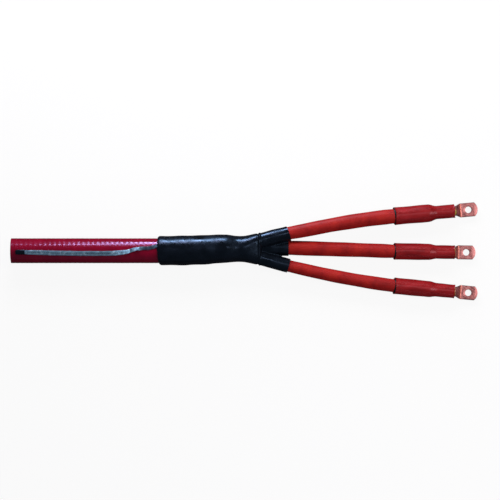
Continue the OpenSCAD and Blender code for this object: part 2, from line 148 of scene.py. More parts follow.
# The three cores: place in the lay, first bend, angles through the finger and the lug, roll of the route's
# plane, tube radii at finger and sleeve and swelling between them, length cut off, and how far the finger, the
# tube's root and the tube's middle stand off to +Y
CORES = (
    dict(lay=(7.63, 38.44), bend=37, fan=14.8, end=5.2, roll=-17.04, tube=(12.7, 14.4), swell=0.65, short=0,
         aside=(1.4, -0.4, -0.4)),
    dict(lay=(5.64, 19.55), bend=158, fan=-2.4, end=-1.0, roll=24.98, tube=(14.3, 13.3), swell=0.55, short=5,
         aside=(1.3, 1.4, 0.2)),
    dict(lay=(-9.73, 30.72), bend=71, fan=-15.9, end=-5.6, roll=12.41, tube=(12.0, 13.2), swell=0.1, short=0,
         aside=(0.5, 1.1, 1.0)))
BEND_R, COLLAR, FINGER_END, SLEEVE_AT = 100, 98, 156, 367
BARREL_AT, BARREL_DEPTH = 68, 44


def pick(piece):
    """Selects one piece alone and makes it active."""
    bpy.ops.object.select_all(action="DESELECT")
    piece.select_set(True)
    bpy.context.view_layer.objects.active = piece


def spun(name, outline, steps=64, angle=35):
    """Closed shell spun about X from an outline of (distance, radius) points, in mm."""
    mesh = bpy.data.meshes.new(name)
    n = len(outline)
    mesh.from_pydata([(x * MM, 0, r * MM) for x, r in outline], [(i, (i + 1) % n) for i in range(n)], [])
    piece = bpy.data.objects.new(name, mesh)
    bpy.context.collection.objects.link(piece)
    pick(piece)
    bpy.ops.object.mode_set(mode="EDIT")
    bpy.ops.mesh.select_all(action="SELECT")
    bpy.ops.mesh.spin(steps=steps, angle=2 * pi, center=(0, 0, 0), axis=(1, 0, 0))
    bpy.ops.mesh.select_all(action="SELECT")
    bpy.ops.mesh.remove_doubles(threshold=1e-6)
    bpy.ops.mesh.normals_make_consistent(inside=False)
    bpy.ops.object.mode_set(mode="OBJECT")
    bpy.ops.object.shade_smooth_by_angle(angle=radians(angle))
    return piece


def moved(piece, place):
    """Moves every vertex of a piece by a function from mm to mm."""
    for vertex in piece.data.vertices:
        vertex.co = Vector(place(vertex.co / MM)) * MM
    piece.data.update()


def fit_out(piece, material, slot, *replaced):
    """Gives a finished piece its material, its body and the CAD nodes that it stands for. Its slot is not used."""
    piece.data.materials.clear()
    piece.data.materials.append(material)
    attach(piece, "root")
    if replaced:
        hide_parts(*replaced)


def coat(material, *names):
    """Gives CAD nodes a material."""
    for name in names:
        for holder in nodes[name].material_slots:
            holder.material = material


def stations(a, b, step):
    """Even distances from a to b, about a step apart."""
    n = max(1, round(abs(b - a) / step))
    return [a + (b - a) * i / n for i in range(n + 1)]


def two_tone(name, dark, light, patch, roughness, metallic=0):
    """Material mottled between two colours, in patches of a size in mm, with a slight unevenness."""
    tree, shader, material = new_material(name)
    where = add(tree, "ShaderNodeTexCoord")
    patches = add(tree, "ShaderNodeTexNoise", [(where.outputs["Object"], "Vector")],
                  Scale=1 / (patch * MM), Detail=4)
    tint = ramp(add(tree, "ShaderNodeValToRGB", [(patches.outputs["Fac"], "Fac")]), (0.3, dark), (0.7, light))
    uneven = add(tree, "ShaderNodeBump", [(patches.outputs["Fac"], "Height")],
                 Strength=0.2, Distance=patch * MM / 20)
    tree.links.new(tint.outputs[0], shader.inputs["Base Color"])
    tree.links.new(uneven.outputs[0], shader.inputs["Normal"])
    shader.inputs["Roughness"].default_value = roughness
    shader.inputs["Metallic"].default_value = metallic
    return material


def arc(start, turn_to, radius):
    """End point and heading of an arc, from a start (u, v, heading) in mm and degrees."""
    u, v, h = start
    return (u + radius * (sin(radians(turn_to)) - sin(radians(h))),
            v + radius * (cos(radians(h)) - cos(radians(turn_to))), turn_to)


for core in CORES:
    side = 1 if core["fan"] > 0 else -1
    bent = arc((core["bend"], 0, 0), core["fan"], side * BEND_R)
    straight = max(0, (FINGER_END - bent[0]) / cos(radians(core["fan"])))
    left = (bent[0] + straight * cos(radians(core["fan"])),
            bent[1] + straight * sin(radians(core["fan"])), core["fan"])
    easy = (SLEEVE_AT - left[0]) / (sin(radians(core["end"])) - sin(radians(core["fan"])))
    s1 = core["bend"]
    s2 = s1 + BEND_R * radians(abs(core["fan"]))
    s3 = s2 + straight
    s4 = s3 + easy * radians(core["end"] - core["fan"])
    core.update(side=side, cuts=(s1, s2, s3, s4), starts=(bent, left), easy=easy)


def core_frame(core, s):
    """Frame on a core at distance s from the end of the sheath: X along the core, Y in the route's plane."""
    s1, s2, s3, s4 = core["cuts"]
    bent, left = core["starts"]
    if s < s1:
        u, v, h = s, 0, 0
    elif s < s2:
        u, v, h = arc((s1, 0, 0), degrees((s - s1) / BEND_R) * core["side"], core["side"] * BEND_R)
    elif s < s3:
        h = bent[2]
        u, v = bent[0] + (s - s2) * cos(radians(h)), bent[1] + (s - s2) * sin(radians(h))
    else:
        u, v, h = arc(left, left[2] + degrees((min(s, s4) - s3) / core["easy"]), core["easy"])
        u, v = u + max(0, s - s4) * cos(radians(h)), v + max(0, s - s4) * sin(radians(h))
    return (Matrix.Translation((SHEATH_END, *core["lay"])) @ Matrix.Rotation(radians(core["roll"]), 4, "X")
            @ Matrix.Translation((u, v, 0)) @ Matrix.Rotation(radians(h), 4, "Z"))


def joined(*pieces):
    """Joins pieces into the first, with their places applied."""
    bpy.ops.object.select_all(action="DESELECT")
    for piece in pieces:
        piece.select_set(True)
    bpy.context.view_layer.objects.active = pieces[0]
    bpy.ops.object.transform_apply()
    bpy.ops.object.join()


# PVC, extruded: deep wine red, glossy, with long faint draw marks and a slow ripple
tree, shader, pvc = new_material("red_pvc_extruded")
where = add(tree, "ShaderNodeTexCoord")
along_pvc = add(tree, "ShaderNodeMapping", [(where.outputs["Object"], "Vector")], Scale=(6, 160, 160))
draw_marks = add(tree, "ShaderNodeTexNoise", [(along_pvc.outputs[0], "Vector")], Scale=1, Detail=3)
mottle = add(tree, "ShaderNodeTexNoise", [(where.outputs["Object"], "Vector")], Scale=45, Detail=4)
tint = ramp(add(tree, "ShaderNodeValToRGB", [(mottle.outputs["Fac"], "Fac")]),
            (0.3, "#6e0118"), (0.7, "#7e0320"))
haze = ramp(add(tree, "ShaderNodeValToRGB", [(draw_marks.outputs["Fac"], "Fac")]),
            (0.3, "#6c6c6c"), (0.7, "#868686"))
grain = add(tree, "ShaderNodeBump", [(draw_marks.outputs["Fac"], "Height")], Strength=0.25, Distance=0.0002)
tree.links.new(tint.outputs[0], shader.inputs["Base Color"])
tree.links.new(haze.outputs[0], shader.inputs["Roughness"])
tree.links.new(grain.outputs[0], shader.inputs["Normal"])
shader.inputs["IOR"].default_value = 1.53
shader.inputs["Specular Tint"].default_value = (0.62, 0.5, 1, 1)
shader.inputs["Specular IOR Level"].default_value = 0.48

outer = [(x, SHEATH_R) for x in stations(SAWN + SAWN_EDGE, SHEATH_END, 1.2)]
sawn = [(SAWN, SHEATH_BORE), (SAWN, SHEATH_R - SAWN_EDGE)]
sheath = spun("sheath", sawn + outer + [(SHEATH_END, SHEATH_BORE)], 96)


def rippled(v):
    """Ripples the sheath's outer skin and puts it in its place."""
    r = hypot(v.y, v.z)
    if r > SHEATH_R - 0.1:
        turn = atan2(v.y, v.z)
        grow = (RIPPLE * sin(2 * pi * v.x / RIPPLE_PITCH + turn)
                + RIPPLE / 2 * sin(2 * pi * v.x / SLOW_PITCH - turn))
        v = Vector((v.x, v.y * (r + grow - RIPPLE) / r, v.z * (r + grow - RIPPLE) / r))
    return v.x, v.y + AXIS_Y, v.z + AXIS_Z


moved(sheath, rippled)
fit_out(sheath, pvc, "red_sheath", "cable_sheath")

# Under the sheath: drawn copper, bright where it was sawn; milky polyethylene insulation; a dull black
# semiconducting skin on it, as on the stress control tubes; and grey fibrous filler between the cores
copper_wire = two_tone("copper_wire_drawn", "#b0643f", "#d08a5e", 6, 0.32, 1)
coat(copper_wire, "copper_screen")
coat(two_tone("natural_polyethylene", "#cfc8b6", "#e2dccb", 9, 0.4),
     "insulation_1", "insulation_2", "insulation_3")
coat(two_tone("semiconducting_polymer", "#0e0e10", "#19191c", 4, 0.6),
     "semicon_1", "semicon_2", "semicon_3", "stress_tube_1", "stress_tube_2", "stress_tube_3")
coat(two_tone("polypropylene_filler", "#2c2c2e", "#4a4a4b", 1.2, 0.8), "cable_filler")

# Each conductor is nineteen wires stranded in two layers, which show at the sawn end. Farther in it is a bar.
# Wire layers: radius of the layer and number of wires
CONDUCTOR_R, CONDUCTOR_CORE, WIRE_R, WIRE_LEN, BAR_IN = 5.5, 0.2, 1.1, 20, 18
WIRE_LAYERS = ((0, 1), (2.22, 6), (4.36, 12))
for number, core in enumerate(CORES, 1):
    first = SAWN - SHEATH_END + BAR_IN
    last = core["cuts"][3] + BARREL_AT + BARREL_DEPTH
    conductor = spun(f"stranded_conductor_{number}", [(s, CONDUCTOR_R) for s in stations(first, last, 6)]
                     + [(s, CONDUCTOR_CORE) for s in stations(last, first, 6)], 24)
    moved(conductor, lambda v: core_frame(core, v.x) @ Vector((0, v.y, v.z)))
    wires = []
    for layer, count in WIRE_LAYERS:
        for i in range(count):
            a = 2 * pi * i / count
            y, z = core["lay"][0] + layer * cos(a), core["lay"][1] + layer * sin(a)
            bpy.ops.mesh.primitive_cylinder_add(
                vertices=16, radius=WIRE_R * MM, depth=WIRE_LEN * MM, rotation=(0, pi / 2, 0),
                location=((SAWN + WIRE_LEN / 2) * MM, y * MM, z * MM))
            bpy.ops.object.shade_smooth_by_angle(angle=radians(40))
            wires.append(bpy.context.object)
    joined(conductor, *wires)
    fit_out(conductor, copper_wire, "copper", f"conductor_{number}")

# Earth braid: a tube of tinned copper wires woven flat, clamped on the screen under the boot and laid
# back along the sheath. It is creased where it was bent over, and a sleeve caps its wire ends.
# Route points: distance from the end of the sheath, turn from the top towards -Y, share of the width
BRAID = ((32, -22, 0.75), (-104, -25, 0.75), (-109, -18, 0.7), (-115, -13.5, 0.68), (-122, -11, 0.68),
         (-132, -10.5, 0.68), (-140, -9, 0.7), (-147, -7, 0.74), (-154, -3, 0.78), (-161, 3.5, 0.8),
         (-175, 8, 0.88), (-190, 11, 0.92), (-210, 12, 0.92), (-260, 12, 0.92), (-310, 10, 0.92),
         (-340, 8, 0.9), (-358, 7, 0.86), (-368, 6, 0.75), (-384, 6, 0.75))
# Creases: distance from the end of the sheath and roll of the braid about its own line, in degrees
CREASES = ((40, 0), (-101, 0), (-106, -14), (-111, 12), (-116, 30), (-122, 14), (-128, 33), (-134, 22),
           (-138, 26), (-140, -26), (-148, -28), (-150, -10), (-153, 27), (-156, 25), (-159, -20),
           (-172, -22), (-184, -12), (-196, 0), (-400, 0))
BRAID_FROM, BRAID_TO, BRAID_W, BRAID_T, TAPE_R = 32, -382.5, 9.6, 2.0, 21.47
CAP_NEAR, CAP_LIFT = -346, 0.95
CARRIERS, BRAID_PITCH, RIBBON_W, RIBBON_WIRES, RIBBON_LIFT = 8, 34.0, 1.75, 7, 0.2
# Section of a ribbon: share of its half width, and height in mm
RIBBON = ((-1, 0), (-0.55, 0.17), (0.55, 0.17), (1, 0), (0.55, -0.17), (-0.55, -0.17))


def between(table, x, column):
    """Value in a column of a falling table at x, on straight lines."""
    for a, b in zip(table, table[1:]):
        if x >= b[0]:
            return a[column] + (b[column] - a[column]) * max(0, a[0] - x) / (a[0] - b[0])
    return table[-1][column]


def braid_frame(x):
    """Middle of the braid at station x, with its side and outward directions and half width, in mm."""
    seat = 0.15 + (SHEATH_R if x < 3.5 else SHEATH_R - (SHEATH_R - TAPE_R) * min(1, (x - 3) / 11))
    seat += CAP_LIFT * min(1, max(0, (CAP_NEAR - x) / 12))
    half = BRAID_W / 2 * sum(between(BRAID, x + d, 2) for d in (-6, 0, 6)) / 3
    turn = radians(sum(between(BRAID, x + d, 1) for d in (-4, -2, 0, 2, 4)) / 5)
    roll = radians(sum(between(CREASES, x + d, 1) for d in (-1, 0, 1)) / 3)
    r = seat + BRAID_T / 2 + 0.75 * half * abs(sin(roll))
    middle = Vector((x + SHEATH_END, AXIS_Y - r * sin(turn), AXIS_Z + r * cos(turn)))
    side = Vector((0, cos(turn + roll), sin(turn + roll)))
    out = Vector((0, -sin(turn + roll), cos(turn + roll)))
    return middle, side, out, half


def turn_outward(piece):
    """Turns all faces of a piece outwards."""
    pick(piece)
    bpy.ops.object.mode_set(mode="EDIT")
    bpy.ops.mesh.select_all(action="SELECT")
    bpy.ops.mesh.normals_make_consistent(inside=False)
    bpy.ops.object.mode_set(mode="OBJECT")


braid_xs = stations(BRAID_FROM, BRAID_TO, 0.7)
braid_frames = [braid_frame(x) for x in braid_xs]
verts, faces, across = [], [], []
for way in (1, -1):
    for carrier in range(CARRIERS):
        line, outs = [], []
        for x, (middle, side, out, half) in zip(braid_xs, braid_frames):
            round_tube = carrier / CARRIERS + way * (BRAID_FROM - x) / BRAID_PITCH
            a = 2 * pi * round_tube
            wide, thick = half - 0.25, BRAID_T / 2 - 0.45
            c, s = cos(a), sin(a)
            y = wide * (abs(c) ** 0.75) * (1 if c > 0 else -1)
            z = thick * (abs(s) ** 0.5) * (1 if s > 0 else -1)
            other = CARRIERS * (round_tube + way * (BRAID_FROM - x) / BRAID_PITCH)
            lift = way * RIBBON_LIFT * cos(pi * (other + carrier))
            facing = (side * (c * thick) + out * (s * wide)).normalized()
            line.append(middle + side * y + out * z + facing * lift)
            outs.append(facing)
        first = len(verts)
        for i, (point, facing) in enumerate(zip(line, outs)):
            ahead = (line[min(i + 1, len(line) - 1)] - line[max(i - 1, 0)]).normalized()
            wide = ahead.cross(facing).normalized() * RIBBON_W / 2
            for w, h in RIBBON:
                verts.append((point + wide * w + facing * h) * MM)
                across.append(w)
        n = len(RIBBON)
        last = first + (len(line) - 1) * n
        for p in range(first, last, n):
            for j in range(n):
                faces.append((p + j, p + (j + 1) % n, p + n + (j + 1) % n, p + n + j))
        faces += [tuple(first + j for j in reversed(range(n))), tuple(last + j for j in range(n))]
mesh = bpy.data.meshes.new("earth_braid_woven")
mesh.from_pydata(verts, [], faces)
across_ribbon = mesh.attributes.new("across_ribbon", "FLOAT", "POINT")
across_ribbon.data.foreach_set("value", across)
braid = bpy.data.objects.new("earth_braid_woven", mesh)
bpy.context.collection.objects.link(braid)
turn_outward(braid)
bpy.ops.object.shade_smooth_by_angle(angle=radians(60))

# Tinned copper wire, drawn: cool grey metal, seven wires side by side in a ribbon, darker in the grooves,
# with random patches painted bright as glints and painted shade over the stretch next to the boot
tree, shader, tinned = new_material("tinned_copper_wire")
where = add(tree, "ShaderNodeTexCoord")
ribbon = add(tree, "ShaderNodeAttribute", attribute_name="across_ribbon")
wires = add(tree, "ShaderNodeMath", [(ribbon.outputs["Fac"], 0)], operation="MULTIPLY")
wires.inputs[1].default_value = RIBBON_WIRES * pi
wire_tops = add(tree, "ShaderNodeMath", [(wires.outputs[0], 0)], operation="COSINE")
tarnish_and_glints = add(tree, "ShaderNodeTexNoise", [(where.outputs["Object"], "Vector")], Scale=160, Detail=4)
# Random tarnish tone, partly painted highlight: the brightest stop paints glints on the wires
tint = ramp(add(tree, "ShaderNodeValToRGB", [(tarnish_and_glints.outputs["Fac"], "Fac")]),
            (0.3, "#5c7c94"), (0.55, "#88b1cb"), (0.75, "#d6f0ff"))
place = add(tree, "ShaderNodeSeparateXYZ", [(where.outputs["Object"], "Vector")])
near_boot = add(tree, "ShaderNodeMapRange", [(place.outputs["X"], "Value")], From_Min=-0.276, From_Max=-0.196)
# Painted shade: the last four centimetres before the boot's mouth are darkened; the free end is a little darker
# too
painted_shade_ramp = ramp(add(tree, "ShaderNodeValToRGB", [(near_boot.outputs[0], "Fac")]),
            (0, "#dedede"), (0.25, "#ffffff"), (0.82, "#ffffff"), (1, "#80808a"))
tint_with_painted_shade = add(tree, "ShaderNodeMixRGB", [(tint.outputs[0], "Color1"), (painted_shade_ramp.outputs[0], "Color2")],
             blend_type="MULTIPLY", Fac=1)
groove = add(tree, "ShaderNodeBump", [(wire_tops.outputs[0], "Height")], Strength=0.5, Distance=0.00008)
tree.links.new(tint_with_painted_shade.outputs[0], shader.inputs["Base Color"])
tree.links.new(groove.outputs[0], shader.inputs["Normal"])
shader.inputs["Metallic"].default_value = 0.45
shader.inputs["Roughness"].default_value = 0.42
fit_out(braid, tinned, "tinned_braid", "earth_braid")

# The sleeve on the braid's free end is a short black shrink tube, pinched shut past the wire ends.
# Its outline: distance from the end of the sheath and share of its half width
CAP_W, CAP_T = 9.8, 3.8
CAP = ((-365.5, 0.93), (-366.1, 1), (-380.5, 1), (-383.1, 0.95), (-384.1, 0.82), (-384.5, 0.6), (-384.5, 0.02),
       (-383, 0.02), (-383, 0.75), (-365.5, 0.75))
cap = spun("braid_end_cap", CAP, 40, 50)


def flattened(v):
    """Presses the round cap flat and lays it on the braid."""
    r = hypot(v.y, v.z)
    middle, side, out, half = braid_frame(v.x)
    y, z = v.y / r, v.z / r
    return (middle + side * (r * CAP_W / 2 * abs(y) ** 0.7 * (1 if y > 0 else -1))
            + out * (r * CAP_T / 2 * abs(z) ** 0.7 * (1 if z > 0 else -1)))


moved(cap, flattened)

# Boot: black cross-linked polyolefin moulded with three fingers and shrunk on with a flame. It is drawn
# tight over the sheath, the roll spring and the crotch, so its outline shows what lies under it.
BOOT_WALL, FINGER_WALL, COLLAR_PROUD, COLLAR_W, FLARE_R, VOXEL = 1.9, 2.05, 1.3, 3, 25.8, 1.2
RIB, GROOVE, LIP_IN, LIP_LEN, CUT_TILT = 1.3, 1.0, 1.7, 4.5, 5
WEB_FROM, BODY_SOFT, LOWEST, HIGHEST = 40, 0.4, 0.05, 59.05


def finger_s(core, x):
    """Distance along a core to station x on its finger."""
    if x < core["bend"]:
        return x
    return core["cuts"][1] + (x - core["starts"][0][0]) / cos(radians(core["fan"]))


for core in CORES:
    core["finger_r"] = core["tube"][0] + FINGER_WALL
    on_core = core_frame(core, finger_s(core, FINGER_END) - 0.01)
    core["at_end"] = Matrix.Translation((0, core["aside"][0], 0)) @ on_core
    core["undo"] = core["at_end"].inverted()

# Outline of the boot's body: distance from the end of the sheath, sideways lean and radius
BODY = ((-116, 0.2, 29.3), (-92, 0.2, 29.4), (-50, 0.5, 29.6), (-24, 1.5, 29.7), (-8, 1.9, 29.5),
        (0, 2.3, 29.2), (5, 2.9, 28.8), (12, 3.5, 28.6), (34, 4.2, 28.7), (42, 3.9, 27.5), (50, 3.7, 26.2),
        (58, 3.5, 25.6), (66, 3.4, 26.0))


def body_middle(x, lean):
    """Middle of the boot's body at a distance from the end of the sheath, in metres."""
    return (x + SHEATH_END) * MM, (AXIS_Y + lean) * MM, AXIS_Z * MM


bpy.ops.object.select_all(action="DESELECT")
x, lean, r = BODY[0]
bpy.ops.mesh.primitive_circle_add(vertices=64, radius=r * MM, fill_type="NGON", enter_editmode=True,
                                  location=body_middle(x, lean), rotation=(0, pi / 2, 0))
for (x, lean, r), (next_x, next_lean, next_r) in zip(BODY, BODY[1:]):
    step = ((next_x - x) * MM, (next_lean - lean) * MM, 0)
    bpy.ops.mesh.extrude_region_move(TRANSFORM_OT_translate={"value": step})
    bpy.ops.transform.resize(value=(1, next_r / r, next_r / r), center_override=body_middle(next_x, next_lean))
bpy.ops.object.mode_set(mode="OBJECT")
boot = bpy.context.object
boot.name = "boot"
blanks = [boot]


def rod(core, a, b, radius, name):
    """Round rod on the straight line of a core's finger, from station a to station b, in mm."""
    bpy.ops.object.select_all(action="DESELECT")
    slant = 1 / cos(radians(core["fan"]) if core["bend"] < COLLAR else 0)
    length = (b - a) * slant
    bpy.ops.mesh.primitive_cylinder_add(vertices=64, radius=radius * MM, depth=length * MM)
    piece = bpy.context.object
    piece.name = name
    ahead = (b - FINGER_END) * slant - length / 2
    moved(piece, lambda v: core["at_end"] @ Vector((v.z + ahead, v.y, -v.x)))
    return piece


# The flare is drawn tight from the waist to three collars at the finger roots
bpy.ops.object.select_all(action="DESELECT")
bpy.ops.mesh.primitive_circle_add(vertices=64, radius=FLARE_R * MM, rotation=(0, pi / 2, 0),
                                  location=body_middle(*BODY[-1][:2]))
flare = bpy.context.object
for core in CORES:
    collar = rod(core, COLLAR - COLLAR_W, COLLAR, core["finger_r"] + COLLAR_PROUD, "collar")
    pick(flare)
    collar.select_set(True)
    bpy.ops.object.join()
    blanks.append(rod(core, COLLAR - 8, FINGER_END + 8, core["finger_r"], "finger"))
pick(flare)
bpy.ops.object.transform_apply()
bpy.ops.object.mode_set(mode="EDIT")
bpy.ops.mesh.select_all(action="SELECT")
bpy.ops.mesh.convex_hull()
bpy.ops.object.mode_set(mode="OBJECT")
blanks.append(flare)
joined(*blanks)


def modify(piece, kind, **settings):
    """Adds a modifier to a piece and applies it."""
    pick(piece)
    modifier = piece.modifiers.new(kind.lower(), kind)
    for key, value in settings.items():
        setattr(modifier, key, value)
    bpy.ops.object.modifier_apply(modifier=modifier.name)


# Body, flare and fingers are wrapped in one skin, which is then smoothed, most in the web before the fingers
modify(boot, "REMESH", mode="VOXEL", voxel_size=VOXEL * MM)
web = boot.vertex_groups.new(name="web")
for vertex in boot.data.vertices:
    x = vertex.co.x / MM - SHEATH_END
    soft = min(1, (x - WEB_FROM) / 15) * min(1, max(0, (COLLAR - 2 - x) / 6)) if x > WEB_FROM else BODY_SOFT
    web.add([vertex.index], soft, "REPLACE")
modify(boot, "SMOOTH", factor=0.5, iterations=80, vertex_group="web")
modify(boot, "SMOOTH", factor=0.5, iterations=10)


def off_fingers(v):
    """Cores from nearest to farthest finger, each with a point's distance from its skin, in mm."""
    misses = [((core["undo"] @ v).yz.length - core["finger_r"], core) for core in CORES]
    return sorted(misses, key=lambda pair: abs(pair[0]))


def trued(v):
    """Draws a vertex near the skin of a finger onto it, more so away from the finger roots and the crotches."""
    (miss, core), (other, _), _ = off_fingers(v)
    share = min(1, max(0, (v.x - SHEATH_END - COLLAR - 2) / 8)) * min(1, (abs(other) - abs(miss)) / 2.5)
    if abs(miss) > 2 or share == 0:
        return v
    local = core["undo"] @ v
    keep = 1 - share * miss / local.yz.length
    return core["at_end"] @ Vector((local.x, local.y * keep, local.z * keep))


# The mouth is cut a little askew, longest on top towards +Y, and its edge is rounded in towards the sheath
MOUTH_TURN, MOUTH_TILT = 25, 7
MOUTH = (Matrix.Translation((BOOT_MOUTH, AXIS_Y, AXIS_Z)) @ Matrix.Rotation(radians(-MOUTH_TURN), 4, "X")
         @ Matrix.Rotation(radians(180 - MOUTH_TILT), 4, "Y"))
IN_MOUTH = MOUTH.inverted()


def shrunk(v):
    """Uneven shrinkage: slow lumps, a moulded rib and groove at the finger roots, nothing below the ground."""
    away = Vector((0, v.y - AXIS_Y, v.z - AXIS_Z))
    lip = -LIP_IN * max(0, 1 + (IN_MOUTH @ v).x / LIP_LEN) ** 2
    lump = 0.26 * sin(v.x / 9.5 + 2.1 * sin(v.z / 17)) + 0.16 * sin(v.x / 6.1 + v.y / 8.3)
    x = v.x - SHEATH_END - COLLAR
    rib = RIB * exp(-(x / 1.5) ** 2) - GROOVE * exp(-((x + 3.6) / 1.7) ** 2)
    v = v + away.normalized() * (lump + rib + lip - 0.1)
    return v.x, v.y, min(max(v.z, LOWEST), HIGHEST)


moved(boot, trued)
moved(boot, shrunk)
pick(boot)
bpy.ops.object.mode_set(mode="EDIT")
bpy.ops.mesh.select_all(action="SELECT")
bpy.ops.mesh.bisect(plane_co=MOUTH.translation * MM, plane_no=MOUTH.col[0].to_3d(), clear_outer=True)
bpy.ops.object.mode_set(mode="OBJECT")

# Each finger is cut off at its end, the first one a little askew, without touching the fingers beside it
bm = bmesh.new()
bm.from_mesh(boot.data)
for core in CORES:
    at = core["at_end"] @ Matrix.Rotation(radians(CUT_TILT if core is CORES[0] else 0), 4, "Z")
    inverse = at.inverted()
    near = [v for v in bm.verts if (inverse @ (v.co / MM)).x > -6 and off_fingers(v.co / MM)[0][1] is core]
    faces = list({f for v in near for f in v.link_faces})
    edges = list({e for f in faces for e in f.edges})
    bmesh.ops.bisect_plane(bm, geom=near + edges + faces, plane_co=at.translation * MM,
                           plane_no=at.col[0].to_3d(), clear_outer=True)
bm.to_mesh(boot.data)
bm.free()
modify(boot, "SOLIDIFY", thickness=BOOT_WALL * MM, offset=-1, use_even_offset=False)
bpy.ops.object.shade_smooth_by_angle(angle=radians(50))

# Polyolefin, moulded and shrunk: blue-black, half gloss, with a fine pebbled skin and slow waves that break
# up the shine
tree, shader, polyolefin = new_material("black_polyolefin_shrunk")
where = add(tree, "ShaderNodeTexCoord")
patches = add(tree, "ShaderNodeTexNoise", [(where.outputs["Object"], "Vector")], Scale=55, Detail=3)
pebble = add(tree, "ShaderNodeTexNoise", [(where.outputs["Object"], "Vector")], Scale=420, Detail=2)
tint = ramp(add(tree, "ShaderNodeValToRGB", [(patches.outputs["Fac"], "Fac")]),
            (0.3, "#06080c"), (0.72, "#0b0f16"))
haze = ramp(add(tree, "ShaderNodeValToRGB", [(patches.outputs["Fac"], "Fac")]),
            (0.35, "#707070"), (0.65, "#a4a4a4"))
waves = add(tree, "ShaderNodeBump", [(patches.outputs["Fac"], "Height")], Strength=0.3, Distance=0.0016)
skin = add(tree, "ShaderNodeBump", [(pebble.outputs["Fac"], "Height"), (waves.outputs[0], "Normal")],
           Strength=0.08, Distance=0.0003)
tree.links.new(tint.outputs[0], shader.inputs["Base Color"])
tree.links.new(haze.outputs[0], shader.inputs["Roughness"])
tree.links.new(skin.outputs[0], shader.inputs["Normal"])
shader.inputs["Specular IOR Level"].default_value = 0.38
shader.inputs["Specular Tint"].default_value = (0.42, 0.66, 1, 1)
fit_out(boot, polyolefin, "boot_black", "breakout_boot")
fit_out(cap, polyolefin, "cap_black", "braid_end_sleeve")
path = [braid_frame(x)[0] * MM for x in stations(BRAID_FROM, BRAID_TO, 8)]

# Under the boot: black sealing mastic wrapped over braid and sheath, thinned out at the end of the sheath,
# and a strip of stainless steel rolled twice round the braid and the screen, which it clamps by its spring.
# Outline of the mastic: distance from the end of the sheath and radius
MASTIC = ((-99, SHEATH_R), (-99, 25.4), (-98, 26.1), (-92, 26.8), (-20, 26.8), (-1, 25.2), (-1, SHEATH_R))
MASTIC_END, MASTIC_OUT = -90, 1.4
mastic = spun("mastic_wrap", MASTIC)


def pressed_out(v):
    """Skews the end of the mastic so that it fills the boot's mouth."""
    askew = -tan(radians(MOUTH_TILT)) * (v.y * sin(radians(MOUTH_TURN)) + v.z * cos(radians(MOUTH_TURN)))
    out = askew - MASTIC_OUT if v.x < MASTIC_END else 0
    return v.x + SHEATH_END + out, v.y + AXIS_Y, v.z + AXIS_Z


moved(mastic, pressed_out)
black_mastic = two_tone("black_sealing_mastic", "#0b0b0d", "#17171a", 5, 0.5)
fit_out(mastic, black_mastic, "mastic_black", "sealing_mastic")

SPRING_FROM, SPRING_W, SPRING_TURNS, STRIP_T = 14, 18, 2, 0.4
turns = []
for a in stations(0, 360 * SPRING_TURNS, 4):
    off_braid = (a + BRAID[0][1] + 180) % 360 - 180
    r = TAPE_R + STRIP_T + (STRIP_T + 0.1) * a / 360 + (BRAID_T + 0.1) * exp(-(off_braid / 14) ** 4)
    y, z = AXIS_Y + r * sin(radians(a)), AXIS_Z + r * cos(radians(a))
    turns.append(((SPRING_FROM + SHEATH_END) * MM, y * MM, z * MM))
mesh = bpy.data.meshes.new("roll_spring_strip")
mesh.from_pydata(turns, [(i, i + 1) for i in range(len(turns) - 1)], [])
spring = bpy.data.objects.new("roll_spring_strip", mesh)
bpy.context.collection.objects.link(spring)
pick(spring)
bpy.ops.object.mode_set(mode="EDIT")
bpy.ops.mesh.select_all(action="SELECT")
bpy.ops.mesh.extrude_region_move(TRANSFORM_OT_translate={"value": (SPRING_W * MM, 0, 0)})
bpy.ops.object.mode_set(mode="OBJECT")
modify(spring, "SOLIDIFY", thickness=STRIP_T * MM, offset=0)
bpy.ops.object.shade_smooth_by_angle(angle=radians(40))
fit_out(spring, two_tone("stainless_strip", "#8d9196", "#b4b8bc", 3, 0.25, 1), "spring_steel", "roll_spring")

# Core tubes: red anti-tracking polymer tubes shrunk over the bared cores, from inside the fingers to
# inside the lug sleeves. They swell over what lies beneath.
# What lies farther out than SKIN_R is on a tube's or a sleeve's outer skin.
TUBE_FROM, TUBE_IN, TUBE_BORE, SKIN_R = 146, 60, 10.6, 11
# Polymer, shrunk: brick red, dull and blotched, with pale rubbed streaks along the tube
tree, shader, tracking_red = new_material("red_antitracking_polymer_shrunk")
where = add(tree, "ShaderNodeTexCoord")
blotch = add(tree, "ShaderNodeTexNoise", [(where.outputs["Object"], "Vector")],
             Scale=38, Detail=5, Roughness=0.62)
stretch = add(tree, "ShaderNodeMapping", [(where.outputs["Object"], "Vector")], Scale=(14, 130, 130))
rubbed = add(tree, "ShaderNodeTexNoise", [(stretch.outputs[0], "Vector")], Scale=1, Detail=4)
tint = ramp(add(tree, "ShaderNodeValToRGB", [(blotch.outputs["Fac"], "Fac")]),
            (0.28, "#7c1011"), (0.5, "#961816"), (0.74, "#a32219"))
dust = ramp(add(tree, "ShaderNodeValToRGB", [(rubbed.outputs["Fac"], "Fac")]),
            (0.55, "#000000"), (0.8, "#2a2a2a"))
pale = add(tree, "ShaderNodeMixRGB", [(dust.outputs[0], "Fac"), (tint.outputs[0], "Color1")],
           Color2=srgb("#b4625c"))
skin = add(tree, "ShaderNodeBump", [(blotch.outputs["Fac"], "Height")], Strength=0.3, Distance=0.0006)
tree.links.new(pale.outputs[0], shader.inputs["Base Color"])
tree.links.new(skin.outputs[0], shader.inputs["Normal"])
shader.inputs["Roughness"].default_value = 0.5
shader.inputs["Specular IOR Level"].default_value = 0.2

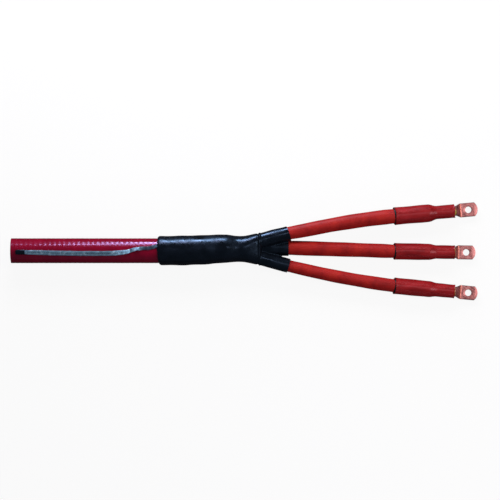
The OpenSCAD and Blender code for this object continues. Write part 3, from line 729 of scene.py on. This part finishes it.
for number, core in enumerate(CORES, 1):
    s4 = core["cuts"][3]
    a, b = finger_s(core, TUBE_FROM), s4 + TUBE_IN
    lip = finger_s(core, FINGER_END)
    at_finger, at_sleeve = core["tube"]
    outline = [(s, at_finger + (at_sleeve - at_finger) * min(1, max(0, (s - lip) / (s4 - lip))))
               for s in stations(a, b, 4)]
    tube = spun(f"shrunk_tube_{number}", outline + [(s, TUBE_BORE) for s in stations(b, a, 6)], 96)

    def on_route(v):
        """Lays the tube along its core, lumpy and swollen outside, and stands it off to +Y."""
        r, turn, grow = hypot(v.y, v.z), atan2(v.y, v.z), 0
        share = min(1, max(0, (v.x - lip) / (s4 - lip)))
        if r > SKIN_R:
            grow = 0.14 * sin(v.x / 11 + number) + 0.08 * sin(v.x / 17 + 2 * turn + number) - 0.1
            grow += core["swell"] * min(1, share * 12, (1 - share) * 12)
        in_finger, root, middle = core["aside"]
        off = root * (1 - share ** 3) + middle * sin(pi * share)
        off += (in_finger - root) * max(0, 1 - 4 * share) ** 2
        around = Vector((0, v.y * (r + grow) / r, v.z * (r + grow) / r))
        return core_frame(core, v.x) @ around + Vector((0, off, 0))

    moved(tube, on_route)
    fit_out(tube, tracking_red, "tube_red", f"core_tube_{number}")

# Lugs: lengths of copper tube crimped on the conductors, their ends pressed flat into a palm, punched for
# an M12 bolt and cropped round. The flame has browned the copper, and a highlight is painted along the crease.
BARREL_R, PALM_W, PALM_T, TIP_R, HOLE_R = 9.7, 27.96, 5.2, 18.58, 6.5
HOLE_AT, CREASE, NECK, STEP, EDGE, BLOCK = 148.5, 16, 26, 0.45, 0.15, 40
PALM_Z = PALM_T / 2 - BARREL_R


def lug_section(x, a):
    """Point on the lug's skin at x from the hole, at angle a round it."""
    ramp_up = min(1, max(0, (x + NECK) / (NECK - CREASE)))
    press = 0.75 * ramp_up + 0.25 * ramp_up * ramp_up * (3 - 2 * ramp_up)
    c, s = cos(a), sin(a)
    flat_y = (PALM_W - PALM_T) / 2 * max(-1, min(1, 1.35 * c)) + PALM_T / 2 * c
    flat_z = PALM_Z + PALM_T / 2 * max(-1, min(1, 1.5 * s))
    # A pressed step, a fraction of a millimetre high, crosses the palm at the crease
    step = STEP * max(0, 1 - abs(x + CREASE - 0.6) / 1.4) * max(0, s)
    y, z = BARREL_R * c * (1 - press) + flat_y * press, BARREL_R * s * (1 - press) + flat_z * press
    return x, y, z + step


# Copper, browned by the flame: dull rose brown with darker bloom and fine scratches, with a painted highlight on
# the crease
tree, shader, copper = new_material("browned_copper")
where = add(tree, "ShaderNodeTexCoord")
bloom = add(tree, "ShaderNodeTexNoise", [(where.outputs["Object"], "Vector")], Scale=130, Detail=5)
brushed = add(tree, "ShaderNodeMapping", [(where.outputs["Object"], "Vector")], Scale=(120, 1500, 1500))
scratches = add(tree, "ShaderNodeTexNoise", [(brushed.outputs[0], "Vector")], Scale=1, Detail=2)
tint = ramp(add(tree, "ShaderNodeValToRGB", [(bloom.outputs["Fac"], "Fac")]),
            (0.3, "#8a5251"), (0.5, "#ae6c6a"), (0.75, "#cb8784"))
# Painted highlight: a bright copper colour is mixed in where this mask is high, along the crease
crease_highlight_mask = add(tree, "ShaderNodeAttribute", attribute_name="painted_crease_highlight")
tint_with_crease_highlight = add(tree, "ShaderNodeMixRGB", [(crease_highlight_mask.outputs["Fac"], "Fac"), (tint.outputs[0], "Color1")],
            Color2=srgb("#f08a72"))
haze = ramp(add(tree, "ShaderNodeValToRGB", [(bloom.outputs["Fac"], "Fac")]),
            (0.3, "#8c8c8c"), (0.75, "#adadad"))
marks = add(tree, "ShaderNodeBump", [(scratches.outputs["Fac"], "Height")], Strength=0.25, Distance=0.0001)
tree.links.new(tint_with_crease_highlight.outputs[0], shader.inputs["Base Color"])
tree.links.new(haze.outputs[0], shader.inputs["Roughness"])
tree.links.new(marks.outputs[0], shader.inputs["Normal"])
shader.inputs["Metallic"].default_value = 0.7


def merge_close(gap):
    """Merges vertices of the active piece that lie closer than a gap in mm."""
    bpy.ops.object.mode_set(mode="EDIT")
    bpy.ops.mesh.select_all(action="SELECT")
    bpy.ops.mesh.remove_doubles(threshold=gap * MM)
    bpy.ops.object.mode_set(mode="OBJECT")


# The tube is drawn out ring by ring, from its open end to past the tip
open_end = BARREL_AT - HOLE_AT
rings = stations(open_end, -NECK, 12) + stations(-NECK, -CREASE + 4, 1)[1:] + [0, 10, 22]
bpy.ops.object.select_all(action="DESELECT")
bpy.ops.mesh.primitive_circle_add(vertices=64, radius=BARREL_R * MM, fill_type="NGON", enter_editmode=True,
                                  rotation=(0, pi / 2, 0), location=(rings[0] * MM, 0, 0))
for here, ahead in zip(rings, rings[1:]):
    bpy.ops.mesh.extrude_region_move(TRANSFORM_OT_translate={"value": ((ahead - here) * MM, 0, 0)})
bpy.ops.object.mode_set(mode="OBJECT")
pressed = bpy.context.object
bpy.ops.object.transform_apply()
moved(pressed, lambda v: lug_section(v.x, atan2(v.z, v.y)))
turn_outward(pressed)

# The tip is cropped to an arc about the hole, the hole is punched, and the edges are rounded. Close vertices
# are merged first, because a rounding wider than the gap between two of them would tear the tip.
bpy.ops.mesh.primitive_cylinder_add(vertices=128, radius=BLOCK * MM, depth=BLOCK * MM)
crop = bpy.context.object
moved(crop, lambda v: (v.x * TIP_R / BLOCK if v.x > 0 else v.x * 3, v.y * TIP_R / BLOCK, v.z))
modify(pressed, "BOOLEAN", operation="INTERSECT", object=crop, solver="EXACT")
bpy.data.objects.remove(crop)
bpy.ops.mesh.primitive_cylinder_add(vertices=64, radius=HOLE_R * MM, depth=BLOCK * MM)
punch = bpy.context.object
modify(pressed, "BOOLEAN", operation="DIFFERENCE", object=punch, solver="EXACT")
bpy.data.objects.remove(punch)
merge_close(2 * EDGE)
modify(pressed, "BEVEL", width=EDGE * MM, segments=2, limit_method="ANGLE", angle_limit=radians(50),
       use_clamp_overlap=False)
merge_close(0.01)
bpy.ops.object.shade_smooth_by_angle(angle=radians(35))
# Painted highlight mask: 1 on the crease, falling off within about a millimetre either side
painted_crease_highlight = pressed.data.attributes.new("painted_crease_highlight", "FLOAT", "POINT")
off_crease = [v.co.x / MM + CREASE for v in pressed.data.vertices]
painted_crease_highlight.data.foreach_set("value", [exp(-(x / 1.1) ** 2) for x in off_crease])

for number, core in enumerate(CORES, 1):
    lug = bpy.data.objects.new(f"copper_lug_{number}", pressed.data.copy())
    bpy.context.collection.objects.link(lug)
    level = -degrees(atan2(cos(radians(core["end"])) * tan(radians(core["roll"])), 1))
    at = core_frame(core, core["cuts"][3] + HOLE_AT - core["short"]) @ Matrix.Rotation(radians(level), 4, "X")
    moved(lug, lambda v: at @ v)
    fit_out(lug, copper, "copper", f"lug_{number}")
bpy.data.objects.remove(pressed)

# Lug sleeves: short red tubes shrunk over the end of a core tube and the lug's barrel. Each steps down at a
# soft shoulder. A black bead at its flared mouth is painted shadow, and yellow mastic has run out along the
# barrel.
SLEEVE_LEN, SLEEVE_WIDE, SHOULDER, NECK_R, NECK_BORE = 120, 68, 17, 13.5, 10.6
SLEEVE_WALL, SLEEVE_PLAY, MOUTH_SKEW, SKEW_LEN, RAGGED = 3, 0.15, 2.6, 15, 0.5
BEAD_W, BEAD_H, BEAD_STEPS, RUN_OUT = 1.4, 1.2, 12, (2.6, 0.9, 0.9)


def skew(at, v):
    """How far a sleeve's mouth is cut askew at a point round it, most on top."""
    return MOUTH_SKEW * (at.to_3x3() @ Vector((0, v.y, v.z))).z / hypot(v.y, v.z)


# Polyolefin, shrunk: wine red, half gloss, with faint flow streaks along the sleeve; the mastic is dull yellow
yellow_mastic = two_tone("yellow_sealing_mastic", "#8a7426", "#b39a3c", 3, 0.45)
tree, shader, sleeve_red = new_material("red_polyolefin_sleeve")
where = add(tree, "ShaderNodeTexCoord")
flow = add(tree, "ShaderNodeMapping", [(where.outputs["Object"], "Vector")], Scale=(30, 110, 110))
streaks = add(tree, "ShaderNodeTexNoise", [(flow.outputs[0], "Vector")], Scale=1, Detail=4)
tint = ramp(add(tree, "ShaderNodeValToRGB", [(streaks.outputs["Fac"], "Fac")]),
            (0.3, "#6e0d10"), (0.5, "#831416"), (0.75, "#951e22"))
skin = add(tree, "ShaderNodeBump", [(streaks.outputs["Fac"], "Height")], Strength=0.12, Distance=0.0005)
tree.links.new(tint.outputs[0], shader.inputs["Base Color"])
tree.links.new(skin.outputs[0], shader.inputs["Normal"])
shader.inputs["Roughness"].default_value = 0.3
shader.inputs["Specular IOR Level"].default_value = 0.46
shader.inputs["Specular Tint"].default_value = (1, 0.6, 0.68, 1)

for number, core in enumerate(CORES, 1):
    bore = core["tube"][1] + SLEEVE_PLAY
    wide = bore + SLEEVE_WALL
    outline = []
    for d in stations(0, SLEEVE_LEN, 1.5):
        press = min(1, max(0, (d - SLEEVE_WIDE) / SHOULDER))
        press = press * press * (3 - 2 * press)
        lips = 0.3 * max(0, 1 - d / 4) + 0.5 * max(0, 1 - (SLEEVE_LEN - d) / 3)
        outline.append((d, wide + (NECK_R - wide) * press + lips))
    inside = [(SLEEVE_LEN, NECK_BORE), (SLEEVE_WIDE + SHOULDER - 2, NECK_BORE), (SLEEVE_WIDE - 1, bore), (0, bore)]
    sleeve = spun(f"shrunk_sleeve_{number}", outline + inside, 64, 50)
    at = core_frame(core, core["cuts"][3])

    def on_end(v):
        """Puts the sleeve on its lug, lumpy outside, with ragged ends and its mouth askew."""
        r, turn, grow = hypot(v.y, v.z), atan2(v.y, v.z), 0
        if r > SKIN_R:
            grow = 0.16 * sin(v.x / 8 + number) + 0.14 * sin(2 * turn + v.x / 13 + number) - 0.1
        ragged = RAGGED * sin(3 * turn + number) if v.x < 0.1 or v.x > SLEEVE_LEN - 0.1 else 0
        askew = skew(at, v) * max(0, 1 - v.x / SKEW_LEN)
        point = at @ Vector((v.x + ragged + askew, v.y * (r + grow) / r, v.z * (r + grow) / r))
        return point.x, point.y, max(point.z, LOWEST)

    moved(sleeve, on_end)
    fit_out(sleeve, sleeve_red, "sleeve_red", f"lug_sleeve_{number}")

    # Painted shadow: a black ring of mastic lies where the flared mouth throws its shade on the tube
    round_bead = [2 * pi * i / BEAD_STEPS for i in range(BEAD_STEPS)]
    bead = spun(f"mouth_shadow_bead_{number}",
                [(BEAD_W * cos(a) - 0.9, bore - 0.1 + BEAD_H * sin(a)) for a in round_bead])

    def along_mouth(v):
        """Puts the bead along the sleeve's mouth, thicker and thinner as it goes round."""
        uneven = sin(3 * atan2(v.y, v.z) + number)
        point = at @ Vector((v.x * (1 + 0.4 * uneven) + RAGGED * uneven + skew(at, v), v.y, v.z))
        return point.x, point.y, max(point.z, LOWEST)

    moved(bead, along_mouth)
    fit_out(bead, black_mastic, "mastic_black")

    # The yellow mastic runs out most on top of lug 1
    out = SLEEVE_LEN + 0.6
    lining = spun(f"mastic_lining_{number}", [(BARREL_AT, 9.75), (BARREL_AT, 10.3), (out - 1, 10.4), (out, 10.1),
                                              (out, 9.75)])

    def run_out(v):
        """Draws the mastic out of the sleeve's end, on top of the lug."""
        on_top = max(0, cos(atan2(v.y, v.z) + 0.5)) ** 6
        more = RUN_OUT[number - 1] * on_top if v.x > SLEEVE_LEN - 1 else 0
        return at @ Vector((v.x + more, v.y, v.z))

    moved(lining, run_out)
    fit_out(lining, yellow_mastic, "mastic_yellow", f"lug_mastic_{number}")
